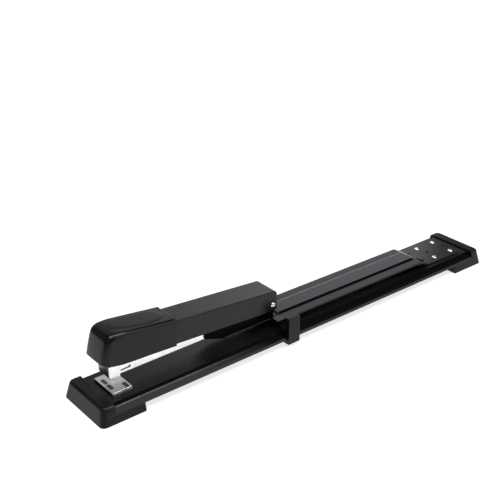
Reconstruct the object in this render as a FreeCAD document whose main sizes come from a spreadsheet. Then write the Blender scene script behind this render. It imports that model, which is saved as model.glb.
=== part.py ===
"""Long reach stapler, as a FreeCAD macro in millimetres.

A pressed steel rail stands on two plastic feet.  A steel arm is riveted to the rear of the rail and
reaches forward over it, leaving a throat for paper.  At the front the arm folds up into a cradle
whose ears hold the hinge pin of the magazine and of the head.

Frame: origin under the middle of the stapler on the table, +X to the rear, +Z up.  The sub-parts
are drawn at their "station", a distance to the rear of a datum that lies just behind the front end,
and each is placed so that the datum comes to the same place.
"""
import FreeCAD, Part
import os
import re
import Sketcher
from FreeCAD import Placement, Rotation, Vector

DIMS = (
    # whole stapler
    ("overall_length", 432.4),
    ("front_datum", 1.2),
    # base rail: half widths are measured from the middle plane
    ("rail_inset", 3.6),
    ("rail_sheet", 1.2),
    ("rail_top", 13.4),
    ("rail_plate_half", 21.6),
    ("rail_groove_half", 22.9),
    ("rail_groove_top", 11.6),
    ("rail_bead_half", 24.1),
    ("rail_bead_top", 12.2),
    ("rail_edge_half", 27.8),
    ("rail_edge", 7.0),
    ("rail_groove_round", 0.4),
    ("rail_bead_round", 1.0),
    # feet
    ("foot_length", 37.7),
    ("foot_half", 29.0),
    ("foot_height", 14.7),
    ("foot_end_draft", 2.0),
    ("foot_side_draft", 3.0),
    ("foot_lip_length", 12.3),
    ("foot_wall", 2.5),
    ("foot_hollow_half", 24.2),
    ("foot_corner", 4.8),
    ("foot_edge_round", 3.0),
    # anvil
    ("anvil_station", 26.9),
    ("anvil_half_length", 8.9),
    ("anvil_half_width", 14.5),
    ("anvil_top", 15.5),
    ("anvil_sheet", 1.2),
    ("anvil_step", 0.9),
    ("anvil_gap", 0.2),
    ("pocket_offset", 5.4),
    ("pocket_half_width", 1.7),
    ("pocket_depth", 0.5),
    ("clinch_inner", 0.4),
    ("clinch_outer", 8.2),
    ("pin_pocket_inner", 5.0),
    ("pin_pocket_outer", 13.0),
    ("stud_radius", 2.0),
    ("stud_bottom", 4.8),
    ("retainer_radius", 4.2),
    ("retainer_bottom", 5.4),
    ("retainer_thick", 0.8),
    ("anvil_spring_inner", 2.6),
    ("anvil_spring_outer", 3.8),
    # arm
    ("arm_half", 18.0),
    ("arm_sheet", 1.5),
    ("arm_front", 177.0),
    ("arm_front_top", 21.5),
    ("arm_rear_top", 20.2),
    ("joggle_start", 355.0),
    ("joggle_end", 365.0),
    ("arm_end", 408.4),
    ("rib_half", 8.5),
    ("rib_rise", 1.4),
    ("rib_start", 184.0),
    ("rib_end", 352.5),
    ("rib_foot", 367.0),
    ("notch_half", 9.8),
    ("notch_width", 3.0),
    ("notch_length", 7.5),
    # cradle, the front of the arm
    ("cradle_front", 108.5),
    ("cradle_tip", 26.2),
    ("cradle_floor_front", 127.0),
    ("cradle_half", 9.1),
    ("cradle_wall_top", 33.2),
    ("ear_front", 165.0),
    ("ear_rise", 4.0),
    ("ear_behind", 3.3),
    # arm rivets and the two tooling holes between them
    ("rivet_station", 392.3),
    ("rivet_pitch_length", 22.7),
    ("rivet_pitch_width", 22.8),
    ("rivet_radius", 1.6),
    ("rivet_head", 2.4),
    ("rivet_rise", 0.9),
    ("tooling_offset", 2.4),
    ("tooling_radius", 1.5),
    # hinge pin
    ("pin_station", 176.0),
    ("pin_height", 35.4),
    ("pin_radius", 1.5),
    ("pin_play", 0.06),
    ("pin_head", 2.3),
    ("pin_head_thick", 0.9),
    ("pin_ring_radius", 3.0),
    ("pin_ring_thick", 0.7),
    ("spacer_radius", 3.0),
    # magazine
    ("mag_half", 7.4),
    ("mag_sheet", 0.9),
    ("mag_front", 20.65),
    ("mag_floor_front", 22.6),
    ("mag_bottom", 26.0),
    ("mag_top", 35.2),
    ("tail_front", 168.0),
    ("tail_top", 39.4),
    ("tail_end", 179.0),
    ("tail_bottom", 21.65),
    ("slot_front", 30.2),
    ("slot_rear", 38.0),
    ("slot_height", 28.2),
    ("slot_rise", 0.8),
    ("slot_width", 0.8),
    ("slot_eye", 0.95),
    # nose plate
    ("nose_front", 19.6),
    ("nose_sheet", 1.0),
    ("nose_side", 0.85),
    ("nose_end", 28.9),
    ("nose_bottom_front", 25.5),
    ("nose_bottom_rear", 24.6),
    # staples, pusher and its rod and spring
    ("strip_front", 21.95),
    ("strip_length", 53.0),
    ("strip_half", 6.4),
    ("strip_wire", 0.5),
    ("strip_height", 6.4),
    ("pusher_length", 16.0),
    ("pusher_half", 6.2),
    ("pusher_bottom", 27.2),
    ("pusher_top", 33.8),
    ("rod_height", 30.0),
    ("rod_radius", 1.3),
    ("rod_front", 23.5),
    ("anchor_front", 163.0),
    ("anchor_length", 3.0),
    ("anchor_half", 6.4),
    ("anchor_top", 34.0),
    ("push_spring_inner", 1.7),
    ("push_spring_outer", 2.7),
    # head cover
    ("cover_half", 12.5),
    ("cover_sheet", 1.0),
    ("cover_front", 20.5),
    ("cover_end", 180.9),
    ("cover_rear_top", 47.15),
    ("cover_slope", 0.0809),
    ("cover_front_bottom", 40.5),
    ("cover_mid", 79.6),
    ("cover_mid_bottom", 35.3),
    ("cover_rear_bottom", 30.2),
    ("cover_lean", 0.245),
    ("cover_round", 1.2),
    ("cover_corner", 3.2),
    # palm cap
    ("cap_half", 14.1),
    ("cap_wall", 1.5),
    ("cap_front_wall", 2.0),
    ("cap_roof", 2.0),
    ("cap_front", 12.3),
    ("cap_front_bottom", 41.2),
    ("cap_brow", 18.9),
    ("cap_top_front", 65.6),
    ("cap_step", 78.0),
    ("cap_top_rear", 58.3),
    ("cap_tail", 81.2),
    ("cap_skirt_end", 77.4),
    ("cap_skirt_bottom", 34.8),
    ("cap_chin", 27.0),
    ("cap_chin_bottom", 37.7),
    ("cap_front_round", 9.5),
    ("cap_edge", 2.4),
    ("pad_station", 50.5),
    ("pad_half_length", 24.0),
    ("pad_half_width", 9.8),
    ("pad_thick", 0.4),
    # driver
    ("blade_front", 20.9),
    ("blade_thick", 0.55),
    ("blade_half", 6.2),
    ("blade_bottom", 33.9),
    ("blade_tab", 52.2),
    ("blade_tab_end", 40.0),
    ("block_front", 24.8),
    ("block_end", 42.0),
    ("block_half", 6.0),
    ("driver_rivet_radius", 1.2),
    ("driver_rivet_head", 2.0),
    ("driver_rivet_front", 29.0),
    ("driver_rivet_pitch", 7.0),
    # springs
    ("leaf_half", 4.5),
    ("leaf_thick", 0.4),
    ("leaf_front", 118.0),
    ("leaf_bend", 150.0),
    ("leaf_end", 166.0),
    ("leaf_rivet_station", 158.0),
    ("leaf_rivet_radius", 1.2),
    ("leaf_rivet_head", 2.0),
    ("coil_inner", 1.75),
    ("coil_outer", 2.75),
    ("coil_half", 5.0),
    ("coil_leg", 11.0),
    ("coil_rise", 8.1),
    ("coil_wire", 0.8),
    # paper guide
    ("guide_station", 179.6),
    ("guide_length", 12.0),
    ("guide_half", 29.4),
    ("guide_post", 24.7),
    ("guide_post_top", 27.3),
    ("guide_bar_bottom", 13.7),
    ("guide_bar_top", 16.4),
    ("guide_play", 0.4),
    ("guide_hook_half", 22.5),
    ("guide_hook_bottom", 2.6),
)

DATUM = "front_datum - overall_length / 2"
WORD = re.compile(r"[a-z][a-z_]+")
ALIASES = {alias for alias, _ in DIMS}

doc = FreeCAD.newDocument("long_reach_stapler")
sheet = doc.addObject("Spreadsheet::Sheet", "dims")
for row, (alias, size) in enumerate(DIMS, start=1):
    sheet.set(f"A{row}", alias)
    sheet.set(f"B{row}", str(size))
    sheet.setAlias(f"B{row}", alias)
doc.recompute()


# ---------------------------------------------------------------- helpers

def bound(text):
    """Write an expression of sheet words, such as "rail_top - rail_sheet", as FreeCAD reads it."""
    return WORD.sub(lambda m: f"dims.{m.group()}" if m.group() in ALIASES else m.group(), str(text))


def number(text):
    """Return the present value of an expression of sheet words."""
    found = sheet.evalExpression(str(text))
    return float(getattr(found, "Value", found))


def new_body(name):
    """Start a body that is drawn at its station and placed by the datum."""
    body = doc.addObject("PartDesign::Body", name)
    body.Label = name
    body.setExpression("Placement.Base.x", bound(DATUM))
    return body


def new_sketch(body, plane, offset=None):
    """Start a sketch on one of the body's origin planes, moved along that plane's normal."""
    sketch = body.newObject("Sketcher::SketchObject", f"{body.Name}_sketch")
    origin = next(part for part in body.Origin.OriginFeatures if part.Role == plane)
    sketch.AttachmentSupport = [(origin, "")]
    sketch.MapMode = "FlatFace"
    if offset is not None:
        sketch.setExpression("AttachmentOffset.Base.z", bound(offset))
    return sketch


def hold(sketch, geometry, point, across, up):
    """Fix one point of a sketch at two driven distances from the sketch's origin."""
    for kind, text in (("DistanceX", across), ("DistanceY", up)):
        rule = Sketcher.Constraint(kind, -1, 1, geometry, point, number(text))
        index = sketch.addConstraint(rule)
        sketch.setExpression(f"Constraints[{index}]", bound(text))


def outline(sketch, corners):
    """Draw a closed outline of straight lines with every corner driven by the sheet."""
    first = sketch.GeometryCount
    spots = [Vector(number(across), number(up), 0) for across, up in corners]
    count = len(spots)
    lines = [Part.LineSegment(spots[i], spots[(i + 1) % count]) for i in range(count)]
    sketch.addGeometry(lines, False)
    joins = [Sketcher.Constraint("Coincident", first + i, 2, first + (i + 1) % count, 1)
             for i in range(count)]
    sketch.addConstraint(joins)
    for i, (across, up) in enumerate(corners):
        hold(sketch, first + i, 1, across, up)


def circle(sketch, across, up, radius):
    """Draw a circle with its centre and radius driven by the sheet."""
    centre = Vector(number(across), number(up), 0)
    shape = Part.Circle(centre, Vector(0, 0, 1), number(radius))
    index = sketch.addGeometry(shape, False)
    hold(sketch, index, 3, across, up)
    rule = sketch.addConstraint(Sketcher.Constraint("Radius", index, number(radius)))
    sketch.setExpression(f"Constraints[{rule}]", bound(radius))


def pad(body, sketch, length, both=False, back=False):
    """Add a prism, to one side of its sketch or evenly to both."""
    feature = body.newObject("PartDesign::Pad", f"{body.Name}_pad")
    feature.Profile = sketch
    feature.SideType = "Symmetric" if both else "One side"
    feature.Reversed = back
    feature.setExpression("Length", bound(length))
    return feature


def pocket(body, sketch, length, both=False, back=False):
    """Cut a prism and make sure that it takes something away."""
    doc.recompute()
    before = body.Shape.Volume
    feature = body.newObject("PartDesign::Pocket", f"{body.Name}_pocket")
    feature.Profile = sketch
    feature.SideType = "Symmetric" if both else "One side"
    feature.Reversed = back
    feature.setExpression("Length", bound(length))
    doc.recompute()
    if not body.Shape.Volume < before - 0.01:
        raise RuntimeError(f"{feature.Name} cuts nothing")
    return feature


def revolve(body, sketch, axis="V_Axis"):
    """Turn a half section through a full circle about an axis of its sketch."""
    feature = body.newObject("PartDesign::Revolution", f"{body.Name}_turned")
    feature.Profile = sketch
    feature.ReferenceAxis = (sketch, [axis])
    feature.Angle = 360
    return feature


def soften(body, radius, wanted, kind="Fillet"):
    """Round or chamfer the edges of the body whose middle point and direction pass a test.

    The direction of a closed edge, such as a circle, is the zero vector.
    """
    doc.recompute()
    base = body.Tip
    names = []
    for index, edge in enumerate(base.Shape.Edges, start=1):
        middle = edge.CenterOfMass
        run = edge.Vertexes[-1].Point - edge.Vertexes[0].Point
        if run.Length > 0:
            run.normalize()
        if wanted(middle, run):
            names.append(f"Edge{index}")
    if not names:
        raise RuntimeError(f"no edge of {body.Label} to soften")
    feature = body.newObject(f"PartDesign::{kind}", f"{body.Name}_{kind.lower()}")
    feature.Base = (base, names)
    feature.setExpression("Radius" if kind == "Fillet" else "Size", bound(radius))
    doc.recompute()
    if "Invalid" in feature.State:
        raise RuntimeError(f"{feature.Name} fails on {names}")
    return feature


def along(run, axis):
    """Tell whether an edge runs along one axis."""
    return abs(getattr(run, axis)) > 0.999


def near(value, text, slack=0.05):
    """Tell whether a coordinate lies at a driven size."""
    return abs(value - number(text)) < slack


def ring(name, inner, outer, length, base, axis="Z"):
    """Make a washer or sleeve from two cylinders that share one axis."""
    tools = []
    for part, radius in (("outer", outer), ("bore", inner)):
        tool = doc.addObject("Part::Cylinder", f"{name}_{part}")
        tool.setExpression("Radius", bound(radius))
        tool.setExpression("Height", bound(length))
        tool.Placement.Rotation = turned(axis)
        for side, text in zip("xyz", base):
            tool.setExpression(f"Placement.Base.{side}", bound(text))
        tools.append(tool)
    cut = doc.addObject("Part::Cut", name)
    cut.Label = name
    cut.Base, cut.Tool = tools
    cut.setExpression("Placement.Base.x", bound(DATUM))
    return cut


def turned(axis):
    """Return the rotation that points a cylinder along an axis."""
    return {"X": Rotation(Vector(0, 1, 0), 90),
            "Y": Rotation(Vector(1, 0, 0), -90),
            "Z": Rotation()}[axis]


def mirrored(half):
    """Complete an outline that starts on the middle plane with its own mirror image."""
    other = [(f"-({across})", up) for across, up in reversed(half) if str(across) != "0"]
    return list(half) + other


# ---------------------------------------------------------------- rail and feet

RAIL_OUTSIDE = (
    ("rail_plate_half", "rail_top"),
    ("rail_groove_half", "rail_groove_top"),
    ("rail_bead_half", "rail_bead_top"),
    ("rail_edge_half", "rail_edge"),
)


def make_base_rail():
    """One strip of sheet: flat plate, a groove, a bead and a flared skirt along each side."""
    body = new_body("base_rail")
    inside = [(f"{across} - rail_sheet / 2", f"{up} - rail_sheet") for across, up in RAIL_OUTSIDE[:-1]]
    right = list(RAIL_OUTSIDE) + [("rail_edge_half - rail_sheet * 1.25", "rail_edge")] + inside[::-1]
    left = [(f"-({across})", up) for across, up in right[::-1]]
    section = new_sketch(body, "YZ_Plane", "rail_inset")
    outside_right, inside_right = right[:5], right[5:]
    inside_left, outside_left = left[:3], left[3:]
    outline(section, outside_right + inside_right + inside_left + outside_left)
    pad(body, section, "overall_length - 2 * front_datum - 2 * rail_inset")
    for name in ("rail_groove", "rail_bead"):
        soften(body, f"{name}_round", lambda middle, run: (
            along(run, "x") and near(abs(middle.y), f"{name}_half")))
    holes = new_sketch(body, "XY_Plane", "rail_top")
    circle(holes, "anvil_station", "0", "stud_radius + pin_play")
    rivet_holes(holes)
    pocket(body, holes, "rail_sheet * 2")
    return body


def make_foot(name):
    """A drafted end cap: a lip over the end of the rail and a hollow skirt under it."""
    body = new_body(name)
    side = new_sketch(body, "XZ_Plane")
    outline(side, (("-front_datum", "0"), ("foot_length", "0"), ("foot_length", "foot_height"),
                   ("foot_end_draft", "foot_height")))
    pad(body, side, "foot_half * 2", both=True)
    drafts = new_sketch(body, "YZ_Plane", "-(front_datum + 1)")
    for across in ("", "-"):
        outline(drafts, ((f"{across}(foot_half)", "0"), (f"{across}(foot_half + 1)", "0"),
                         (f"{across}(foot_half + 1)", "foot_height"),
                         (f"{across}(foot_half - foot_side_draft)", "foot_height")))
    pocket(body, drafts, "foot_length + front_datum + 2", back=True)
    soften(body, "foot_corner", lambda middle, run: (
        middle.x < number("foot_end_draft") and abs(run.z) > 0.8))
    soften(body, "foot_edge_round", lambda middle, run: (
        near(middle.z, "foot_height", 0.2) and middle.x < number("foot_length") - 0.5))
    above = new_sketch(body, "XZ_Plane")
    outline(above, (("foot_lip_length", "rail_edge"), ("foot_length + 1", "rail_edge"),
                    ("foot_length + 1", "foot_height + 1"), ("foot_lip_length", "foot_height + 1")))
    pocket(body, above, "foot_half * 2 + 2", both=True)
    seat = new_sketch(body, "YZ_Plane", "rail_inset")
    outline(seat, mirrored([RAIL_OUTSIDE[0], *RAIL_OUTSIDE[2:]]))
    pocket(body, seat, "foot_length", back=True)
    hollow = new_sketch(body, "XY_Plane", "-1")
    outline(hollow, (("rail_inset", "-foot_hollow_half"),
                     ("foot_length - foot_wall", "-foot_hollow_half"),
                     ("foot_length - foot_wall", "foot_hollow_half"),
                     ("rail_inset", "foot_hollow_half")))
    pocket(body, hollow, "rail_edge + 2", back=True)
    return body


def make_feet():
    """The same moulding at both ends, the rear one turned half round.

    The lip of the front one is hollowed out where the corners of the anvil swing past it.
    """
    front = make_foot("front_foot")
    relief = new_sketch(front, "XY_Plane", "rail_top")
    circle(relief, "anvil_station", "0",
           "sqrt(anvil_half_length ^ 2 + anvil_half_width ^ 2) + anvil_gap")
    pocket(front, relief, "foot_height - rail_top + 1", back=True)
    rear = make_foot("rear_foot")
    rear.Placement.Rotation = Rotation(Vector(0, 0, 1), 180)
    rear.setExpression("Placement.Base.x", bound("overall_length / 2 - front_datum"))
    return front, rear


# ---------------------------------------------------------------- anvil

def make_anvil_plate():
    """A plate with turned-down sides and two pairs of pockets, one pair for each way of clinching."""
    body = new_body("anvil_plate")
    section = new_sketch(body, "YZ_Plane", "anvil_station - anvil_half_length")
    outline(section, mirrored((
        ("anvil_half_width - anvil_step", "anvil_top"),
        ("anvil_half_width - anvil_step", "anvil_top - anvil_step"),
        ("anvil_half_width", "anvil_top - anvil_step"),
        ("anvil_half_width", "rail_top + anvil_gap"),
        ("anvil_half_width - anvil_step - anvil_sheet", "rail_top + anvil_gap"),
        ("anvil_half_width - anvil_step - anvil_sheet", "anvil_top - anvil_sheet"))))
    pad(body, section, "anvil_half_length * 2")
    soften(body, "anvil_step * 0.8", lambda middle, run: along(run, "z") and near(
        abs(middle.x - number("anvil_station")), "anvil_half_length")
        and abs(middle.y) > number("anvil_half_width - anvil_step") - 0.1)
    soften(body, "anvil_step / 3", lambda middle, run: (
        near(middle.z, "anvil_top") or near(middle.z, "anvil_top - anvil_step")
        and near(abs(middle.y), "anvil_half_width")))
    hole = new_sketch(body, "XY_Plane", "anvil_top")
    circle(hole, "anvil_station", "0", "stud_radius")
    pocket(body, hole, "anvil_sheet * 2")
    pockets = new_sketch(body, "XY_Plane", "anvil_top")
    for side in ("", "-"):
        pocket_outline(pockets, "anvil_station - pocket_offset", side, "clinch_inner", "clinch_outer")
        pocket_outline(pockets, "anvil_station + pocket_offset", side,
                       "pin_pocket_inner", "pin_pocket_outer")
    pocket(body, pockets, "pocket_depth")
    return body


def pocket_outline(sketch, station, side, inner, outer):
    """Draw one clinch pocket as a long octagon across the anvil."""
    corner = "pocket_half_width * 0.6"
    outline(sketch, (
        (f"{station} - pocket_half_width + {corner}", f"{side}({inner})"),
        (f"{station} + pocket_half_width - {corner}", f"{side}({inner})"),
        (f"{station} + pocket_half_width", f"{side}({inner} + {corner})"),
        (f"{station} + pocket_half_width", f"{side}({outer} - {corner})"),
        (f"{station} + pocket_half_width - {corner}", f"{side}({outer})"),
        (f"{station} - pocket_half_width + {corner}", f"{side}({outer})"),
        (f"{station} - pocket_half_width", f"{side}({outer} - {corner})"),
        (f"{station} - pocket_half_width", f"{side}({inner} + {corner})")))


def make_anvil_stud():
    """The stud on which the anvil turns, riveted flush into the plate."""
    body = new_body("anvil_stud")
    section = new_sketch(body, "XY_Plane", "stud_bottom")
    circle(section, "anvil_station", "0", "stud_radius")
    pad(body, section, "anvil_top - stud_bottom")
    soften(body, "stud_radius / 5", lambda middle, run: near(middle.z, "stud_bottom"), "Chamfer")
    return body


def make_anvil_hardware():
    """The spring under the rail that holds the anvil down, and the ring that keeps it on the stud."""
    centre = ("anvil_station", "0")
    ring("anvil_retainer", "stud_radius", "retainer_radius", "retainer_thick",
         centre + ("retainer_bottom",))
    ring("anvil_spring", "anvil_spring_inner", "anvil_spring_outer",
         "rail_top - rail_sheet - retainer_bottom - retainer_thick - pin_play * 2",
         centre + ("retainer_bottom + retainer_thick",))


# ---------------------------------------------------------------- arm

ARM_TOP = (("arm_front", "arm_front_top"), ("joggle_start", "arm_rear_top"),
           ("joggle_end", "rail_top + arm_sheet"), ("arm_end", "rail_top + arm_sheet"))


def rivet_places():
    """Return the stations and half widths of the four rivets."""
    return [(f"rivet_station {fore} rivet_pitch_length / 2", f"{side}(rivet_pitch_width / 2)")
            for fore in "-+" for side in ("-", "")]


def rivet_holes(sketch):
    """Draw the four rivet holes and the two tooling holes between them."""
    for station, side in rivet_places():
        circle(sketch, station, side, "rivet_radius")
    for fore in "-+":
        circle(sketch, f"rivet_station {fore} rivet_pitch_length / 2 + tooling_offset", "0",
               "tooling_radius")


def make_arm():
    """One pressing: plate, raised rib, joggle down to the rail, and the cradle folded up in front."""
    body = new_body("arm")
    under = [(f"{station} - arm_sheet * 0.4", f"{top} - arm_sheet") for station, top in ARM_TOP[1:-1]]
    plate = new_sketch(body, "XZ_Plane")
    outline(plate, list(ARM_TOP) + [("arm_end", "rail_top")] + under[::-1]
            + [("arm_front", "arm_front_top - arm_sheet")])
    pad(body, plate, "arm_half * 2", both=True)
    cradle = new_sketch(body, "XZ_Plane")
    ear_top = "pin_height + ear_rise"
    ear_rear = "pin_station + ear_behind"
    outline(cradle, (
        ("cradle_front", "cradle_tip"), ("cradle_floor_front", "arm_front_top - arm_sheet"),
        ("rib_start", "arm_front_top - arm_sheet"), ("rib_start", "arm_front_top"),
        (ear_rear, "arm_front_top + 1"), (ear_rear, f"{ear_top} - ear_behind / 2"),
        (f"{ear_rear} - ear_behind / 2", ear_top), ("pin_station - ear_behind", ear_top),
        ("ear_front", "cradle_wall_top"), ("cradle_front", "cradle_wall_top")))
    pad(body, cradle, "cradle_half * 2", both=True)
    trough = new_sketch(body, "XZ_Plane")
    outline(trough, (
        ("cradle_front - 1", "cradle_tip - 8"), ("cradle_floor_front", "cradle_tip - 8"),
        ("cradle_floor_front", "arm_front_top"), ("rib_start + 1", "arm_front_top"),
        ("rib_start + 1", f"{ear_top} + 1"), ("cradle_front - 1", f"{ear_top} + 1")))
    pocket(body, trough, "(cradle_half - arm_sheet) * 2", both=True)
    rib = new_sketch(body, "XZ_Plane")
    outline(rib, (
        ("rib_start", "arm_front_top - arm_sheet / 2"), ("rib_start + rib_rise", "arm_front_top + rib_rise"),
        ("rib_end", "arm_rear_top + rib_rise"), ("rib_foot", "rail_top + arm_sheet"),
        ("rib_foot", "rail_top + arm_sheet / 2"), ("joggle_end", "rail_top + arm_sheet / 2"),
        ("joggle_start", "arm_rear_top - arm_sheet / 2")))
    pad(body, rib, "rib_half * 2", both=True)
    relief = new_sketch(body, "XZ_Plane")
    outline(relief, (
        ("rib_start + arm_sheet", "arm_front_top - arm_sheet * 2"),
        ("rib_start + arm_sheet * 2", "arm_front_top + rib_rise - arm_sheet"),
        ("rib_end - arm_sheet * 2", "arm_rear_top + rib_rise - arm_sheet"),
        ("rib_end", "arm_rear_top - arm_sheet * 2")))
    pocket(body, relief, "(rib_half - arm_sheet) * 2", both=True)
    soften(body, "rib_rise * 0.8", lambda middle, run: (
        near(abs(middle.y), "rib_half") and abs(run.x) > 0.99
        and number("arm_rear_top + rib_rise") - 0.1 < middle.z
        and middle.x > number("rib_start") + 20))
    holes = new_sketch(body, "XY_Plane", "rail_top + arm_sheet")
    rivet_holes(holes)
    pocket(body, holes, "arm_sheet * 2")
    notches = new_sketch(body, "XY_Plane", "arm_front_top")
    for side in ("", "-"):
        outline(notches, (
            ("joggle_end - notch_length / 2", f"{side}(notch_half - notch_width / 2)"),
            ("joggle_end + notch_length / 2", f"{side}(notch_half - notch_width / 2)"),
            ("joggle_end + notch_length / 2", f"{side}(notch_half)"),
            ("joggle_end - notch_length / 2", f"{side}(notch_half + notch_width / 2)")))
    pocket(body, notches, "arm_front_top - rail_top + 0.02")
    bore = new_sketch(body, "XZ_Plane")
    circle(bore, "pin_station", "pin_height", "pin_radius")
    pocket(body, bore, "cradle_half * 2 + 2", both=True)
    return body


def make_arm_rivets():
    """Four domed rivets, each clinched under the rail, as one group of separate solids."""
    body = new_body("arm_rivets")
    grip_bottom = "rail_top - rail_sheet"
    grip_top = "rail_top + arm_sheet"
    section = new_sketch(body, "XZ_Plane")
    outline(section, (
        ("0", f"{grip_bottom} - rivet_rise / 2"), ("rivet_head * 0.8", f"{grip_bottom} - rivet_rise / 2"),
        ("rivet_head * 0.8", grip_bottom), ("rivet_radius", grip_bottom),
        ("rivet_radius", grip_top), ("rivet_head", grip_top),
        ("rivet_head", f"{grip_top} + rivet_rise * 0.3"),
        ("rivet_head * 0.85", f"{grip_top} + rivet_rise * 0.7"),
        ("rivet_head * 0.5", f"{grip_top} + rivet_rise"), ("0", f"{grip_top} + rivet_rise")))
    revolve(body, section)
    body.setExpression("Placement.Base.x", bound(f"{DATUM} + rivet_station - rivet_pitch_length / 2"))
    body.setExpression("Placement.Base.y", bound("-rivet_pitch_width / 2"))
    doc.recompute()
    for axis, pitch in (("X_Axis", "rivet_pitch_length"), ("Y_Axis", "rivet_pitch_width")):
        row = body.newObject("PartDesign::LinearPattern", f"{body.Name}_row")
        row.Originals = [body.Tip]
        row.Direction = (next(a for a in body.Origin.OriginFeatures if a.Role == axis), [""])
        row.Mode = "Spacing"
        row.setExpression("Offset", bound(pitch))
        row.Occurrences = 2
        row.TransformMode = "Whole shape"
        body.Tip = row
        doc.recompute()
    return body


# ---------------------------------------------------------------- hinge

def make_hinge_pin():
    """The pin through cradle, magazine and head, with a formed head on its near end."""
    body = new_body("hinge_pin")
    far = "cover_half + pin_play * 2 + pin_ring_thick + 0.4"
    reach = "cover_half + pin_play * 2"
    shank = new_sketch(body, "XZ_Plane", reach)
    circle(shank, "pin_station", "pin_height", "pin_radius")
    pad(body, shank, f"{far} + {reach}", back=True)
    head = new_sketch(body, "XZ_Plane", reach)
    circle(head, "pin_station", "pin_height", "pin_head")
    pad(body, head, "pin_head_thick")
    soften(body, "pin_head_thick / 2", lambda middle, run: (
        middle.y < 0.05 - number(f"{reach} + pin_head_thick")))
    return body


def make_hinge_rings():
    """The retaining ring on the pin's far end and the spacers between cradle and head."""
    ring("pin_retaining_ring", "pin_radius", "pin_ring_radius", "pin_ring_thick",
         ("pin_station", "cover_half + pin_play * 2", "pin_height"), "Y")
    gap = "cover_half - cover_sheet - cradle_half - pin_play * 2"
    sleeves = []
    for name, start in (("near_spacer", f"-(cradle_half + pin_play + {gap})"),
                        ("far_spacer", "cradle_half + pin_play")):
        sleeve = ring(name, "pin_radius + pin_play", "spacer_radius", gap,
                      ("pin_station", start, "pin_height"), "Y")
        sleeve.setExpression("Placement.Base.x", "0")
        sleeves.append(sleeve)
    pair = doc.addObject("Part::Compound", "pin_spacers")
    pair.Label = "pin_spacers"
    pair.Links = sleeves
    pair.setExpression("Placement.Base.x", bound(DATUM))
    return pair


# ---------------------------------------------------------------- magazine

def make_magazine():
    """An open channel for the staples, with ears for the pin and a tail that stops on the cradle."""
    body = new_body("magazine")
    walls = new_sketch(body, "XZ_Plane")
    outline(walls, (
        ("mag_front", "mag_bottom"), ("tail_front", "mag_bottom"),
        ("tail_end - 2.4", "tail_bottom"), ("tail_end", "tail_bottom"),
        ("tail_end", "tail_top - 2"), ("tail_end - 2", "tail_top"),
        ("tail_front + 3", "tail_top"), ("tail_front - 2", "mag_top"), ("mag_front", "mag_top")))
    pad(body, walls, "mag_half * 2", both=True)
    channel = new_sketch(body, "XZ_Plane")
    outline(channel, (
        ("mag_front - 1", "mag_bottom - 1"), ("mag_floor_front", "mag_bottom - 1"),
        ("mag_floor_front", "mag_bottom + mag_sheet"), ("tail_front", "mag_bottom + mag_sheet"),
        ("tail_front", "tail_bottom - 1"), ("tail_end + 1", "tail_bottom - 1"),
        ("tail_end + 1", "tail_top + 1"), ("mag_front - 1", "tail_top + 1")))
    pocket(body, channel, "(mag_half - mag_sheet) * 2", both=True)
    slot = new_sketch(body, "XZ_Plane")
    outline(slot, (
        ("slot_front", "slot_height"), ("slot_rear", "slot_height + slot_rise"),
        ("slot_rear", "slot_height + slot_rise + slot_width"),
        ("slot_front", "slot_height + slot_width")))
    pocket(body, slot, "mag_half * 2 + 2", both=True)
    eye = new_sketch(body, "XZ_Plane")
    circle(eye, "slot_rear", "slot_height + slot_rise + slot_width / 2", "slot_eye")
    pocket(body, eye, "mag_half * 2 + 2", both=True)
    bore = new_sketch(body, "XZ_Plane")
    circle(bore, "pin_station", "pin_height", "pin_radius + pin_play")
    pocket(body, bore, "mag_half * 2 + 2", both=True)
    return body


def make_nose_plate():
    """The plate folded round the front of the magazine that guides the driver blade."""
    body = new_body("nose_plate")
    side = new_sketch(body, "XZ_Plane")
    outline(side, (
        ("nose_front", "nose_bottom_front"), ("nose_end", "nose_bottom_rear"),
        ("nose_end", "mag_top"), ("nose_front", "mag_top")))
    pad(body, side, "(mag_half + nose_side) * 2", both=True)
    inside = new_sketch(body, "XZ_Plane")
    outline(inside, (
        ("nose_front + nose_sheet", "nose_bottom_rear - 1"), ("nose_end + 1", "nose_bottom_rear - 1"),
        ("nose_end + 1", "mag_top + 1"), ("nose_front + nose_sheet", "mag_top + 1")))
    pocket(body, inside, "mag_half * 2", both=True)
    soften(body, "nose_sheet * 0.8", lambda middle, run: (
        near(middle.x, "nose_front") and near(abs(middle.y), "mag_half + nose_side")))
    return body


def make_staple_strip():
    """A strip of glued staples, an inverted channel of wire."""
    body = new_body("staple_strip")
    foot = "mag_bottom + mag_sheet + 0.02"
    section = new_sketch(body, "YZ_Plane", "strip_front")
    outline(section, mirrored((
        ("strip_half", f"{foot} + strip_height"), ("strip_half", foot),
        ("strip_half - strip_wire", foot),
        ("strip_half - strip_wire", f"{foot} + strip_height - strip_wire"))))
    pad(body, section, "strip_length")
    soften(body, "strip_wire * 0.9", lambda middle, run: (
        along(run, "x") and near(middle.z, f"{foot} + strip_height")))
    return body


def make_pusher():
    """The follower that rides on the rod and keeps the staples at the nose."""
    body = new_body("pusher")
    start = "strip_front + strip_length + 0.1"
    section = new_sketch(body, "YZ_Plane", start)
    outline(section, mirrored((
        ("pusher_half - 1", "pusher_top"), ("pusher_half", "pusher_top - 1"),
        ("pusher_half", "pusher_bottom"))))
    circle(section, "0", "rod_height", "rod_radius + pin_play")
    pad(body, section, "pusher_length")
    seat = new_sketch(body, "YZ_Plane", f"{start} + pusher_length")
    circle(seat, "0", "rod_height", "push_spring_outer + 0.1")
    pocket(body, seat, "pusher_length / 4")
    return body


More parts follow.
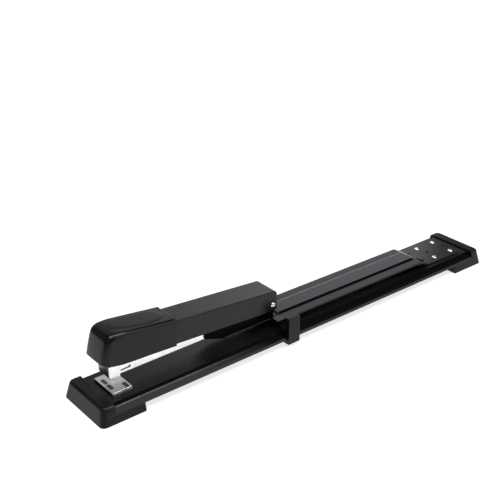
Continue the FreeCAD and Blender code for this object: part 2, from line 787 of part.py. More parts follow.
def make_pusher_rod():
    """The rod that guides the pusher and its spring."""
    body = new_body("pusher_rod")
    section = new_sketch(body, "YZ_Plane", "rod_front")
    circle(section, "0", "rod_height", "rod_radius")
    pad(body, section, "anchor_front + anchor_length - rod_front")
    soften(body, "rod_radius / 2", lambda middle, run: near(middle.x, "rod_front"), "Chamfer")
    return body


def make_pusher_spring():
    """The compression spring between the pusher and the anchor, as a plain sleeve."""
    start = "strip_front + strip_length + 0.2 + pusher_length * 3 / 4"
    return ring("pusher_spring", "push_spring_inner", "push_spring_outer",
                f"anchor_front - 0.1 - ({start})", (start, "0", "rod_height"), "X")


def make_spring_anchor():
    """The block across the rear of the magazine that holds the rod and the spring."""
    body = new_body("spring_anchor")
    section = new_sketch(body, "YZ_Plane", "anchor_front")
    outline(section, mirrored((
        ("anchor_half", "anchor_top"), ("anchor_half", "mag_bottom + mag_sheet"))))
    circle(section, "0", "rod_height", "rod_radius")
    pad(body, section, "anchor_length")
    return body


def make_return_spring():
    """The torsion spring round the pin that lifts the head off the magazine."""
    body = new_body("head_return_spring")
    coil = new_sketch(body, "XZ_Plane")
    circle(coil, "pin_station", "pin_height", "coil_outer")
    circle(coil, "pin_station", "pin_height", "coil_inner")
    pad(body, coil, "coil_half * 2", both=True)
    legs = new_sketch(body, "XZ_Plane")
    for root, level, rise in (("coil_inner + 0.4", "anchor_top + 0.05", "0"),
                              ("coil_wire", "pin_height + coil_outer - coil_wire", "coil_rise")):
        outline(legs, (
            ("pin_station - coil_leg", f"{level} + {rise}"),
            (f"pin_station - ({root})", level),
            (f"pin_station - ({root})", f"{level} + coil_wire"),
            ("pin_station - coil_leg", f"{level} + coil_wire + {rise}")))
    pad(body, legs, "coil_wire", both=True)
    return body


# ---------------------------------------------------------------- head

def cover_top(station, drop="0"):
    """Return the height of the head cover's sloping top at one station."""
    return f"cover_rear_top + (cover_end - ({station})) * cover_slope - ({drop})"


def make_head_cover():
    """The pressed steel channel that is the body of the head."""
    body = new_body("head_cover")
    brow = "cover_front + (cover_rear_top - cover_front_bottom + 12) * cover_lean"
    side = new_sketch(body, "XZ_Plane")
    outline(side, (
        ("cover_front", "cover_front_bottom"), ("cover_mid", "cover_mid_bottom"),
        ("cover_end - 14", "cover_rear_bottom"), ("cover_end", "cover_rear_bottom"),
        ("cover_end", cover_top("cover_end")), (brow, cover_top(brow))))
    pad(body, side, "cover_half * 2", both=True)
    soften(body, "cover_corner", lambda middle, run: (
        along(run, "y") and near(middle.x, "cover_end") and near(middle.z, "cover_rear_top", 0.3)))
    soften(body, "cover_round", lambda middle, run: (
        near(abs(middle.y), "cover_half") and middle.z > number("cover_rear_top") - 0.1
        and middle.x > number("cover_front") + 20 and run.x ** 2 > 0.9))
    inside = new_sketch(body, "XZ_Plane")
    outline(inside, (
        ("cover_front - 1", "cover_rear_bottom - 1"), ("cover_end + 1", "cover_rear_bottom - 1"),
        ("cover_end + 1", cover_top("cover_end + 1", "cover_sheet")),
        ("cover_front - 1", cover_top("cover_front - 1", "cover_sheet"))))
    pocket(body, inside, "(cover_half - cover_sheet) * 2", both=True)
    bore = new_sketch(body, "XZ_Plane")
    circle(bore, "pin_station", "pin_height", "pin_radius + pin_play")
    pocket(body, bore, "cover_half * 2 + 2", both=True)
    return body


def make_palm_cap():
    """The moulded cap over the front of the head, with a broad rounded brow."""
    body = new_body("palm_cap")
    side = new_sketch(body, "XZ_Plane")
    outline(side, (
        ("cap_front", "cap_front_bottom"), ("(cap_front + cap_chin) / 2", "cap_chin_bottom + 1.1"),
        ("cap_chin", "cap_chin_bottom"), ("cap_skirt_end", "cap_skirt_bottom"),
        ("cap_skirt_end", cover_top("cap_skirt_end", "-0.02")),
        ("cap_tail", cover_top("cap_tail", "-0.02")), ("cap_tail", cover_top("cap_tail", "-0.3")),
        ("cap_step", "cap_top_rear"), ("cap_brow", "cap_top_front")))
    pad(body, side, "cap_half * 2", both=True)
    soften(body, "cap_front_round", lambda middle, run: (
        along(run, "y") and near(middle.x, "cap_brow") and near(middle.z, "cap_top_front")))
    soften(body, "cap_edge", lambda middle, run: (
        near(abs(middle.y), "cap_half") and middle.x < number("cap_brow")
        and middle.z > number("cap_front_bottom") and abs(run.z) > 0.9))
    inside = new_sketch(body, "XZ_Plane")
    inner_front = "cap_front + cap_front_wall"
    lean = "(cap_brow - cap_front) / (cap_top_front - cap_front_bottom)"
    fall = "(cap_top_front - cap_top_rear) / (cap_step - cap_brow)"
    cut = "cap_front_round * 0.63"
    outline(inside, (
        (inner_front, "cap_front_bottom"), (inner_front, "cap_skirt_bottom - 1"),
        ("cap_tail + 1", "cap_skirt_bottom - 1"), ("cap_tail + 1", cover_top("cap_tail + 1", "-0.02")),
        ("cap_step", cover_top("cap_step", "-0.02")), ("cap_step - 1", "cap_top_rear - cap_roof"),
        (f"cap_brow + {cut}", f"cap_top_front - {fall} * {cut} - cap_roof"),
        (f"{inner_front} + (cap_top_front - {cut} - cap_front_bottom) * {lean}",
         f"cap_top_front - {cut}")))
    pocket(body, inside, "(cap_half - cap_wall) * 2", both=True)
    return body


def make_thumb_pad():
    """The long oval pad that lies on the sloping top of the cap."""
    body = new_body("thumb_pad")
    fall = (number("cap_top_front") - number("cap_top_rear")) / (number("cap_step") - number("cap_brow"))
    body.Placement.Rotation = Rotation(Vector(1, 0, -fall), Vector(0, 1, 0), Vector(fall, 0, 1), "ZXY")
    body.setExpression("Placement.Base.x", bound(f"{DATUM} + pad_station"))
    body.setExpression("Placement.Base.z", bound(
        "cap_top_front - (cap_top_front - cap_top_rear) / (cap_step - cap_brow)"
        " * (pad_station - cap_brow)"))
    plan = new_sketch(body, "XY_Plane")
    outline(plan, (
        ("-pad_half_length", "-pad_half_width"), ("pad_half_length", "-pad_half_width"),
        ("pad_half_length", "pad_half_width"), ("-pad_half_length", "pad_half_width")))
    pad(body, plan, "pad_thick")
    soften(body, "pad_half_width * 0.97", lambda middle, run: along(run, "z"))
    soften(body, "pad_thick / 2", lambda middle, run: middle.z > number("pad_thick") - 0.01)
    return body


def make_driver():
    """The blade that drives a staple, the block that carries it and the two rivets between them."""
    tab_top = "blade_tab + blade_thick"
    blade = new_body("driver_blade")
    side = new_sketch(blade, "XZ_Plane")
    outline(side, (
        ("blade_front", "blade_bottom"), ("blade_front + blade_thick", "blade_bottom"),
        ("blade_front + blade_thick", "blade_tab"), ("blade_tab_end", "blade_tab"),
        ("blade_tab_end", tab_top), ("blade_front", tab_top)))
    pad(blade, side, "blade_half * 2", both=True)
    block = new_body("driver_block")
    side = new_sketch(block, "XZ_Plane")
    outline(side, (
        ("block_front", tab_top), ("block_end", tab_top),
        ("block_end", cover_top("block_end", "cover_sheet")),
        ("block_front + 2", cover_top("block_front + 2", "cover_sheet")),
        ("block_front", cover_top("block_front", "cover_sheet + 2"))))
    pad(block, side, "block_half * 2", both=True)
    for body, floor in ((blade, "blade_tab"), (block, tab_top)):
        holes = new_sketch(body, "XY_Plane", f"{floor} - 0.5")
        for step in ("0", "driver_rivet_pitch"):
            circle(holes, f"driver_rivet_front + {step}", "0", "driver_rivet_radius")
        pocket(body, holes, "3.5", back=True)
    rivets = new_body("driver_rivets")
    for floor, radius, height in ((tab_top, "driver_rivet_radius", "3"),
                                  ("blade_tab - 0.6", "driver_rivet_head", "0.6"),
                                  ("blade_tab", "driver_rivet_radius", "blade_thick")):
        section = new_sketch(rivets, "XY_Plane", floor)
        for step in ("0", "driver_rivet_pitch"):
            circle(section, f"driver_rivet_front + {step}", "0", radius)
        pad(rivets, section, height)


# ---------------------------------------------------------------- springs under the magazine

def make_lift_spring():
    """The leaf spring that holds the magazine clear of the paper, and the rivet in the cradle."""
    leaf = new_body("lift_spring")
    side = new_sketch(leaf, "XZ_Plane")
    floor = "arm_front_top + 0.02"
    tip = "mag_bottom - 0.1"
    outline(side, (
        ("leaf_end", floor), ("leaf_end", f"{floor} + leaf_thick"),
        ("leaf_bend", f"{floor} + leaf_thick"), ("leaf_front + 8", tip),
        ("leaf_front + 6", tip), ("leaf_front", f"{tip} - 1.2"),
        ("leaf_front", f"{tip} - 1.2 - leaf_thick"), ("leaf_front + 6", f"{tip} - leaf_thick"),
        ("leaf_front + 8", f"{tip} - leaf_thick"), ("leaf_bend", floor)))
    pad(leaf, side, "leaf_half * 2", both=True)
    hole = new_sketch(leaf, "XY_Plane", f"{floor} + leaf_thick")
    circle(hole, "leaf_rivet_station", "0", "leaf_rivet_radius")
    pocket(leaf, hole, "leaf_thick * 2")
    rivet = new_body("lift_spring_rivet")
    for start, radius, height in ((floor, "leaf_rivet_radius", "leaf_thick"),
                                  (f"{floor} + leaf_thick", "leaf_rivet_head", "0.8")):
        section = new_sketch(rivet, "XY_Plane", start)
        circle(section, "leaf_rivet_station", "0", radius)
        pad(rivet, section, height)


# ---------------------------------------------------------------- paper guide

def make_paper_guide():
    """The stop for the paper: a low bar with two posts, hooked round both sides of the rail."""
    body = new_body("paper_guide")
    section = new_sketch(body, "YZ_Plane", "guide_station")
    outline(section, mirrored((
        ("guide_post", "guide_bar_top"), ("guide_post", "guide_post_top"),
        ("guide_half", "guide_post_top"), ("guide_half", "guide_hook_bottom"),
        ("guide_hook_half", "guide_hook_bottom"), ("guide_hook_half", "rail_edge - guide_play"),
        ("rail_edge_half + guide_play", "rail_edge - guide_play"),
        ("rail_edge_half + guide_play", "rail_edge"),
        ("rail_bead_half + guide_play * 1.5", "rail_bead_top + guide_play / 2"),
        ("rail_bead_half", "guide_bar_bottom"))))
    pad(body, section, "guide_length")
    soften(body, "guide_play * 1.5", lambda middle, run: along(run, "x") and (
        near(abs(middle.y), "guide_half") or near(middle.z, "guide_post_top")))
    return body


# ---------------------------------------------------------------- build, check and export

NODES = (
    "base_rail", "front_foot", "rear_foot", "arm", "arm_rivets",
    "anvil_plate", "anvil_stud", "anvil_spring", "anvil_retainer",
    "hinge_pin", "pin_retaining_ring", "pin_spacers", "lift_spring", "lift_spring_rivet",
    "magazine", "nose_plate", "staple_strip", "pusher_rod", "pusher_spring", "spring_anchor",
    "head_return_spring", "pusher",
    "head_cover", "palm_cap", "thumb_pad", "driver_blade", "driver_block", "driver_rivets",
    "paper_guide",
)


def build():
    """Make every sub-part."""
    make_base_rail()
    make_feet()
    make_anvil_plate()
    make_anvil_stud()
    make_anvil_hardware()
    make_arm()
    make_arm_rivets()
    make_hinge_pin()
    make_hinge_rings()
    make_magazine()
    make_nose_plate()
    make_staple_strip()
    make_pusher()
    make_pusher_rod()
    make_pusher_spring()
    make_spring_anchor()
    make_return_spring()
    make_head_cover()
    make_palm_cap()
    make_thumb_pad()
    make_driver()
    make_lift_spring()
    make_paper_guide()
    doc.recompute()


def check(parts):
    """Stop if any object of the document has failed or any sub-part is not a sound solid."""
    for item in doc.Objects:
        if "Invalid" in item.State or "Error" in item.State:
            raise RuntimeError(f"{item.Label} failed: {item.State}")
    for name, item in parts.items():
        shape = item.Shape
        if shape.isNull() or not shape.isValid() or not shape.Solids:
            raise RuntimeError(f"{name} has no valid shape")
        print(f"{name:20} {len(shape.Solids)} solid(s) {shape.Volume:10.1f} mm3")


def main():
    """Build the stapler and write one STEP file for each sub-part."""
    build()
    parts = {name: doc.getObjectsByLabel(name)[0] for name in NODES}
    check(parts)
    os.makedirs("parts", exist_ok=True)
    for name, item in parts.items():
        item.Shape.exportStep(f"parts/{name}.step")


main()
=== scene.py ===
"""Looks of the long reach stapler: materials for its CAD parts, and detailed pieces where they help.

Everything is in metres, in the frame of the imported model: +X to the rear, +Z up, the table at zero.
Sizes that belong to one piece are written in millimetres, and a "station" is a distance to the rear
of the stapler's front datum, as in the CAD.
"""
import math

import bmesh
import bpy
from mathutils import Matrix, Vector


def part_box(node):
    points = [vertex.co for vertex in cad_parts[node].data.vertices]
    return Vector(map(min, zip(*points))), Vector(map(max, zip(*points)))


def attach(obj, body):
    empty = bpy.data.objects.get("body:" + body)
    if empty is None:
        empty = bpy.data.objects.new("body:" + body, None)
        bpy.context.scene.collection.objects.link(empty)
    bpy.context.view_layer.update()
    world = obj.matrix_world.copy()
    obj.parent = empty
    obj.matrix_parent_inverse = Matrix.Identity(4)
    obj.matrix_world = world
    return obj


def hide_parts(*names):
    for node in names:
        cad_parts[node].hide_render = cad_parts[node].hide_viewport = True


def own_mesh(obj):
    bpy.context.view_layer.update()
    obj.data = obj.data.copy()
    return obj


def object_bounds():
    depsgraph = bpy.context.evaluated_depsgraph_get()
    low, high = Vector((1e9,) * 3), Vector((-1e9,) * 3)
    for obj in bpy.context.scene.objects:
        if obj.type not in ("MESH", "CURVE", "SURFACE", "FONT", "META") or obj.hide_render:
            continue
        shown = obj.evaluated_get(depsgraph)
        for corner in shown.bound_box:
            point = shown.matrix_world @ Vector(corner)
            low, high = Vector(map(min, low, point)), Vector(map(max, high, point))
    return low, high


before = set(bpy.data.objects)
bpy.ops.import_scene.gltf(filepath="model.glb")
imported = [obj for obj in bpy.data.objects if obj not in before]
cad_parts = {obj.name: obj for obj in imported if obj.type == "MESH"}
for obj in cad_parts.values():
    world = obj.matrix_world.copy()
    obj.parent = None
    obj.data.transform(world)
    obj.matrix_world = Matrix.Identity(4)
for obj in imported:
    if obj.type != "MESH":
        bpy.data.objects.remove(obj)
cad_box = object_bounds()

MM = 0.001
FRONT_LIP = 1.2  # millimetres from the front end of the stapler to its datum


# ---------------------------------------------------------------- shader building blocks

def math_node(tree, operation, first, second=0.0):
    """Combine two values, each a socket or a number, in a node tree."""
    node = tree.nodes.new("ShaderNodeMath")
    node.operation = operation
    for socket, value in zip(node.inputs, (first, second)):
        if isinstance(value, bpy.types.NodeSocket):
            tree.links.new(value, socket)
        else:
            socket.default_value = value
    return node.outputs[0]


class Look:
    """A material under construction: its node tree, its surface and the mesh's own coordinates."""

    def __init__(self, name, **surface):
        self.material = bpy.data.materials.new(name)
        self.material.use_nodes = True
        self.tree = self.material.node_tree
        self.surface = self.tree.nodes["Principled BSDF"]
        for socket, value in surface.items():
            self.surface.inputs[socket.replace("_", " ")].default_value = value
        self.place = self.node("ShaderNodeTexCoord").outputs["Object"]

    def node(self, kind, links=None, **settings):
        """Add a node, set its properties and link or fill its inputs."""
        node = self.tree.nodes.new(kind)
        for key, value in settings.items():
            setattr(node, key, value)
        for key, value in (links or {}).items():
            if isinstance(value, bpy.types.NodeSocket):
                self.tree.links.new(value, node.inputs[key])
            else:
                node.inputs[key].default_value = value
        return node

    def noise(self, size, detail=3.0, rough=0.5, twist=0.0, stretch=None):
        """Return a noise between 0 and 1 with features of the given size in metres."""
        place = self.place
        if stretch:
            place = self.node("ShaderNodeMapping", {"Vector": place, "Scale": stretch}).outputs[0]
        return self.node("ShaderNodeTexNoise", {
            "Vector": place, "Scale": 1 / size, "Detail": detail, "Roughness": rough,
            "Distortion": twist}).outputs["Fac"]

    def cells(self, size):
        """Return the distance to the nearest of many scattered points, in cells of the given size."""
        return self.node("ShaderNodeTexVoronoi", {
            "Vector": self.place, "Scale": 1 / size}).outputs["Distance"]

    def spread(self, value, low, high, start=0.3, end=0.7):
        """Map a value from one interval to another, clamped."""
        return self.node("ShaderNodeMapRange", {
            "Value": value, "From Min": start, "From Max": end, "To Min": low,
            "To Max": high}).outputs["Result"]

    def blend(self, value, first, second):
        """Mix two colours."""
        mix = self.node("ShaderNodeMix", data_type="RGBA")
        self.tree.links.new(value, mix.inputs["Factor"])
        for socket, colour in ((mix.inputs[6], first), (mix.inputs[7], second)):
            if isinstance(colour, bpy.types.NodeSocket):
                self.tree.links.new(colour, socket)
            else:
                socket.default_value = (*colour, 1.0)
        return mix.outputs[2]

    def math(self, operation, first, second=0.0):
        """Combine two values."""
        return math_node(self.tree, operation, first, second)

    def bump(self, height, depth, normal=None):
        """Turn a height into a normal, over an optional earlier one."""
        links = {"Height": height, "Distance": depth, "Strength": 1.0}
        if normal is not None:
            links["Normal"] = normal
        return self.node("ShaderNodeBump", links).outputs["Normal"]

    def edges(self, radius):
        """Return a normal that rounds sharp edges by a radius in metres."""
        return self.node("ShaderNodeBevel", {"Radius": radius}, samples=6).outputs["Normal"]

    def edge_mask(self, radius):
        """Return 1 on sharp edges and 0 on flat faces."""
        flat = self.node("ShaderNodeNewGeometry").outputs["Normal"]
        dot = self.node("ShaderNodeVectorMath", operation="DOT_PRODUCT")
        self.tree.links.new(self.edges(radius), dot.inputs[0])
        self.tree.links.new(flat, dot.inputs[1])
        return self.spread(dot.outputs["Value"], 1.0, 0.0, 0.8, 0.995)

    def within(self, low, high, soft=(0.0001, 0.0001, 0.0001)):
        """Return 1 inside a box of the mesh's own space, falling to 0 over a distance beyond it."""
        place = self.node("ShaderNodeSeparateXYZ", {"Vector": self.place})
        inside = 1.0
        for side, start, end, fade in zip("XYZ", low, high, soft):
            value = place.outputs[side]
            for edge, beyond in ((start, start - fade), (end, end + fade)):
                inside = self.math("MULTIPLY", self.spread(value, 0.0, 1.0, beyond, edge), inside)
        return inside

    def finish(self, colour=None, rough=None, normal=None):
        """Link what the surface takes and hand over the material."""
        for socket, value in (("Base Color", colour), ("Roughness", rough), ("Normal", normal)):
            if value is not None:
                self.tree.links.new(value, self.surface.inputs[socket])
        return self.material


LEAST_HIGHLIGHT = 0.3  # share of a painted highlight that is left between its patches


def enamel(name, dark, light, gloss, fold=0.0003, painted_shade=(), wear_and_highlights=()):
    """Sprayed enamel: fine orange peel, a little dust in it, thinner and duller on its edges.

    In the shade boxes the enamel carries painted shade: it is darker and loses most of its gloss.
    In the highlight boxes it carries painted highlights, paler in patches, each to the share given with
    it.
    """
    look = Look(name, IOR=1.35)
    cloud = look.noise(0.035, 4)
    dust = look.spread(look.noise(0.0009, 2), 0.0, 1.0, 0.68, 0.74)
    colour = look.blend(look.spread(cloud, 0.0, 1.0), dark, light)
    colour = look.blend(look.math("MULTIPLY", dust, 0.1), colour, (0.12, 0.12, 0.13))
    worn = look.math("MULTIPLY", look.edge_mask(0.0004), look.spread(look.noise(0.004, 5), 0.0, 0.4))
    colour = look.blend(worn, colour, (0.04, 0.039, 0.04))
    # painted highlights: paler patches where an edge, a bead or a slope catches the light
    for share, box in wear_and_highlights:
        patchy = look.spread(look.noise(0.003, 4), LEAST_HIGHLIGHT * share, share)
        highlight = look.math("MULTIPLY", look.within(*box), patchy)
        colour = look.blend(highlight, colour, (0.12, 0.119, 0.125))
    # painted shade: darker and almost without gloss where close shadow falls
    if painted_shade:
        shade_amount = 0.0
        for share, box in painted_shade:
            shade_amount = look.math("MAXIMUM", look.math("MULTIPLY", look.within(*box), share), shade_amount)
        level = look.spread(shade_amount, 0.5, 0.03, 0.0, 1.0)
        look.tree.links.new(level, look.surface.inputs["Specular IOR Level"])
        colour = look.blend(shade_amount, colour, (0.0015, 0.0015, 0.0018))
    rough = look.math("ADD", look.spread(cloud, gloss - 0.03, gloss + 0.04),
                      look.math("MULTIPLY", dust, 0.12))
    peel = look.bump(look.noise(0.0015, 2, 0.4), 0.000005, look.edges(fold))
    return look.finish(colour, rough, look.bump(look.noise(0.014, 2), 0.00003, peel))


def moulded(name, dark, light, gloss, grain=0.00035, depth=0.000008, ior=1.31):
    """Moulded black plastic: fine spark-eroded grain, faint flow marks and small scuffs."""
    look = Look(name, IOR=ior)
    flow = look.noise(0.03, 3, 0.5, 1.5)
    scuffs = look.spread(look.noise(0.0016, 3, 0.6, stretch=(0.25, 1.6, 1.0)), 0.0, 1.0, 0.68, 0.78)
    colour = look.blend(look.spread(flow, 0.0, 1.0), dark, light)
    # real edge wear: the edges paler in patches
    wear_and_highlights = look.math("MULTIPLY", look.edge_mask(0.0005), look.spread(look.noise(0.005, 4), 0.0, 0.5))
    colour = look.blend(wear_and_highlights, colour, (0.03, 0.03, 0.031))
    rough = look.math("SUBTRACT", look.spread(flow, gloss - 0.03, gloss + 0.05),
                      look.math("MULTIPLY", scuffs, 0.06))
    return look.finish(colour, rough, look.bump(look.cells(grain), depth, look.edges(0.0003)))


def plated(name, tint, gloss, along=(0.12, 1.0, 1.0), depth=0.000004, shaded_spots=()):
    """Bright nickel plate over sheet that keeps the rolling lines of the steel.

    Inside the shade boxes the plate is painted dark, a painted shade for a pocket, a slot and a cast
    shadow.
    """
    look = Look(name, Metallic=1.0)
    lines = look.noise(0.0005, 4, 0.6, stretch=along)
    cloud = look.noise(0.012, 4, 0.55, 0.6)
    spots = look.spread(look.noise(0.002, 5, 0.7), 0.0, 1.0, 0.7, 0.8)
    shade = tuple(channel * 0.86 for channel in tint)
    colour = look.blend(look.spread(cloud, 0.0, 1.0), tint, shade)
    colour = look.blend(look.math("MULTIPLY", spots, 0.35), colour, (0.5, 0.47, 0.42))
    rough = look.math("ADD", look.spread(lines, gloss - 0.05, gloss + 0.1),
                      look.math("MULTIPLY", spots, 0.12))
    # painted shade: the plate dark where it lies in a pocket, in a slot and in a cast shadow
    for box in shaded_spots:
        colour = look.blend(look.within(*box), colour, (0.15, 0.145, 0.15))
    return look.finish(colour, rough, look.bump(lines, depth, look.edges(0.0002)))


def drawn_wire(name, tint, gloss):
    """Drawn spring or staple wire: bright, with faint marks along it."""
    look = Look(name, Metallic=1.0)
    marks = look.noise(0.0004, 3, 0.6)
    shade = tuple(channel * 0.7 for channel in tint)
    colour = look.blend(look.spread(look.noise(0.006, 3), 0.0, 1.0), tint, shade)
    return look.finish(colour, look.spread(marks, gloss - 0.06, gloss + 0.1),
                       look.bump(marks, 0.000004))


def sawn(name, tint):
    """Plain mild steel with the lines of a saw or press across it."""
    look = Look(name, Metallic=1.0)
    lines = look.noise(0.0006, 3, 0.7, stretch=(1.0, 0.1, 1.0))
    colour = look.blend(look.spread(look.noise(0.004, 5, 0.6), 0.0, 1.0), tint, (0.3, 0.28, 0.26))
    return look.finish(colour, look.spread(lines, 0.3, 0.5),
                       look.bump(lines, 0.00001, look.edges(0.0002)))


def backdrop(name):
    """A plain pale floor, lit evenly from below like a light table so that shadows on it stay faint."""
    look = Look(name, Roughness=0.9, Base_Color=(0.35, 0.35, 0.35, 1.0),
                Emission_Color=(1.0, 1.0, 1.0, 1.0), Emission_Strength=0.76)
    look.surface.inputs["Specular IOR Level"].default_value = 0.1
    return look.finish()


# Parts of a surface with painted light.  Painted shade makes CRADLE_WALLS, RAIL_SKIRTS, RAIL_GROOVES,
# ARM_FLANGES, RIB_FOOT, ARM_HOLES, RAIL_HOLES, ANVIL_POCKETS, ANVIL_STEP, NOSE_FRONT, STAPLE_SLOT and
# SLOT_EYE darker and duller than the rest; painted highlights make RAIL_BEADS, RIB_EDGE, CRADLE_FOLD and
# JOGGLE paler.  They stand in for close shadow or for an edge that catches the light, and keep their
# shade from every side.  Each is a box in metres, its low and high corner and, for some, how far it
# fades out.
CRADLE_WALLS = ((-0.110, -0.0096, 0.0209), (-0.035, 0.0096, 0.035))
RAIL_SKIRTS = tuple(
    ((-0.05, middle - 0.0029, 0.0092), (0.22, middle + 0.0029, 0.0131), (0.08, 0.0003, 0.0006))
    for middle in (-0.0248, 0.0248))
RAIL_GROOVES = tuple(
    ((-0.22, middle - 0.0009, 0.010), (0.22, middle + 0.0009, 0.0137), (0.001, 0.0004, 0.0006))
    for middle in (-0.0221, 0.0221))
ARM_FLANGES = tuple(
    ((-0.03, middle - 0.0042, 0.018), (0.138, middle + 0.0042, 0.0225), (0.002, 0.0006, 0.0006))
    for middle in (-0.0137, 0.0137))
RAIL_BEADS = tuple(
    ((-0.22, middle - 0.0007, 0.0112), (-0.15, middle + 0.0007, 0.02), (0.09, 0.0004, 0.0004))
    for middle in (-0.0239, 0.0239))
RIB_EDGE = ((-0.028, 0.0066, 0.0205), (0.135, 0.0087, 0.03), (0.002, 0.0006, 0.0004))
RIB_FOOT = ((-0.028, -0.0093, 0.0190), (0.135, -0.0079, 0.03), (0.002, 0.0003, 0.0004))
CRADLE_FOLD = ((-0.085, -0.0095, 0.0198), (-0.036, -0.0088, 0.0208), (0.004, 0.0001, 0.0002))
JOGGLE = ((0.1395, -0.0150, 0.0150), (0.1412, 0.0150, 0.0225), (0.002, 0.002, 0.0006))
ARM_HOLES = ((0.1665, -0.0018, 0.0133), (0.1929, 0.0018, 0.01475))
RAIL_HOLES = ((0.1665, -0.0018, 0.0121), (0.1929, 0.0018, 0.0133))
ANVIL_POCKETS = ((-0.2, -0.0134, 0.0148), (-0.17, 0.0134, 0.0153))
ANVIL_STEP = ((-0.2, -0.0150, 0.0139), (-0.17, -0.0134, 0.0152))
NOSE_FRONT = ((-0.197, -0.0076, 0.02), (-0.1952, 0.0076, 0.04))
STAPLE_SLOT = ((-0.185, -0.008, 0.0281), (-0.177, -0.007, 0.0293))
SLOT_EYE = ((-0.1781, -0.008, 0.0284), (-0.1759, -0.007, 0.0304))

BLACK_PAINT = enamel("black_enamel", (0.0030, 0.0030, 0.0036), (0.0045, 0.0045, 0.0055), 0.26)
# the rail carries painted shade on its skirts, in its grooves and holes, and painted highlights along its
# beads
RAIL_PAINT = enamel("rail_enamel", (0.0030, 0.0030, 0.0036), (0.0045, 0.0045, 0.0055), 0.26,
                    painted_shade=[(1.0, box) for box in (*RAIL_SKIRTS, *RAIL_GROOVES, RAIL_HOLES)],
                    wear_and_highlights=[(0.5, box) for box in RAIL_BEADS])
# the arm carries painted shade on the cradle walls, the rib's foot, the holes and the flanges, and painted
# highlights on the rib's edge, the joggle and the cradle's fold
ARM_PAINT = enamel("grey_black_enamel", (0.005, 0.005, 0.006), (0.007, 0.007, 0.0085), 0.26, 0.0007,
                   [(1.0, box) for box in (CRADLE_WALLS, RIB_FOOT, ARM_HOLES)]
                   + [(0.3, box) for box in ARM_FLANGES],
                   ((0.8, RIB_EDGE), (0.35, JOGGLE), (0.5, CRADLE_FOLD)))
BLACK_PLASTIC = moulded("black_moulding", (0.0038, 0.0038, 0.0042), (0.006, 0.006, 0.0066), 0.33,
                        ior=1.27)
CAP_PLASTIC = moulded("cap_moulding", (0.0034, 0.0034, 0.0040), (0.005, 0.005, 0.0058), 0.21,
                      depth=0.000003)
PAD_PLASTIC = moulded("pad_moulding", (0.005, 0.005, 0.006), (0.007, 0.007, 0.0085), 0.36, 0.0005, 0.00002)
# the nickel parts carry painted shade in the staple slot, on the nose's front and in the anvil's pockets
# and step
NICKEL = plated("nickel_plate", (0.93, 0.92, 0.89), 0.2, shaded_spots=(STAPLE_SLOT, SLOT_EYE))
NOSE_NICKEL = plated("nose_nickel", (0.9, 0.89, 0.86), 0.2, shaded_spots=(NOSE_FRONT,))
ANVIL_NICKEL = plated("anvil_nickel", (0.85, 0.83, 0.82), 0.28, (1.0, 0.12, 1.0), 0.00001,
                      (ANVIL_POCKETS, ANVIL_STEP))
BRIGHT_NICKEL = plated("bright_nickel", (0.95, 0.94, 0.92), 0.12, (1.0, 1.0, 1.0))
SPRING_STEEL = drawn_wire("spring_steel", (0.6, 0.6, 0.6), 0.28)
STAPLE_WIRE = drawn_wire("staple_wire", (0.82, 0.83, 0.85), 0.24)
BLOCK_STEEL = sawn("block_steel", (0.5, 0.49, 0.48))
FLOOR = backdrop("pale_floor")

FINISHES = {
    BLACK_PAINT: ("head_cover",),
    RAIL_PAINT: ("base_rail",),
    ARM_PAINT: ("arm",),
    BLACK_PLASTIC: ("front_foot", "rear_foot", "paper_guide", "pusher"),
    NICKEL: ("magazine",),
    NOSE_NICKEL: ("nose_plate",),
    ANVIL_NICKEL: ("anvil_plate",),
    BRIGHT_NICKEL: ("pin_retaining_ring", "pin_spacers", "anvil_stud", "anvil_retainer",
                    "lift_spring_rivet", "spring_anchor", "driver_rivets", "pusher_rod"),
    SPRING_STEEL: ("driver_blade",),
    BLOCK_STEEL: ("driver_block",),
}


def dress_nodes():
    """Give every CAD node that stays its material, smooth between faces that meet gently."""
    for material, names in FINISHES.items():
        for name in names:
            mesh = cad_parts[name].data
            mesh.materials.clear()
            mesh.materials.append(material)
            smooth(mesh)


def smooth(mesh, angle=32):
    """Shade a mesh smooth except across edges sharper than an angle in degrees."""
    mesh.shade_smooth()
    mesh.set_sharp_from_angle(angle=math.radians(angle))


# ---------------------------------------------------------------- mesh building blocks

def at(station, across, up):
    """Return a point in metres from a station, a half width and a height in millimetres."""
    return Vector((cad_box[0][0] + (station + FRONT_LIP) * MM, across * MM, up * MM))


def centre_of(node):
    """Return the middle of a CAD node's box and its size."""
    low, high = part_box(node)
    return (low + high) / 2, high - low


def quads(rows, columns, start=0, closed=False):
    """Return the faces of a grid of points stored row by row, its columns closed or open."""
    faces = []
    for i in range(rows - 1):
        for j in range(columns if closed else columns - 1):
            k = (j + 1) % columns
            a, b = start + i * columns, start + (i + 1) * columns
            faces.append((a + j, a + k, b + k, b + j))
    return faces


def sweep(path, section, side=None):
    """Carry a flat closed section along a path without twisting it, and close both ends."""
    points = []
    for i, here in enumerate(path):
        ahead = (path[min(i + 1, len(path) - 1)] - path[max(i - 1, 0)]).normalized()
        side = side or ahead.orthogonal()
        side = (side - ahead * side.dot(ahead)).normalized()
        up = ahead.cross(side)
        points += [here + side * across + up * rise for across, rise in section]
    count = len(section)
    faces = quads(len(path), count, closed=True)
    faces.append(tuple(range(count)))
    faces.append(tuple(range(len(points) - count, len(points))))
    return points, faces


def disc(radius, sides):
    """Return a round section."""
    turns = [2 * math.pi * i / sides for i in range(sides)]
    return [(radius * math.cos(turn), radius * math.sin(turn)) for turn in turns]


def lathe(outline, sides=40):
    """Turn an outline of (radius, height) about the Z axis; radius zero closes an end."""
    points = [Vector((radius * x, radius * y, height))
              for radius, height in outline for x, y in disc(1, sides)]
    return points, quads(len(outline), sides, closed=True)


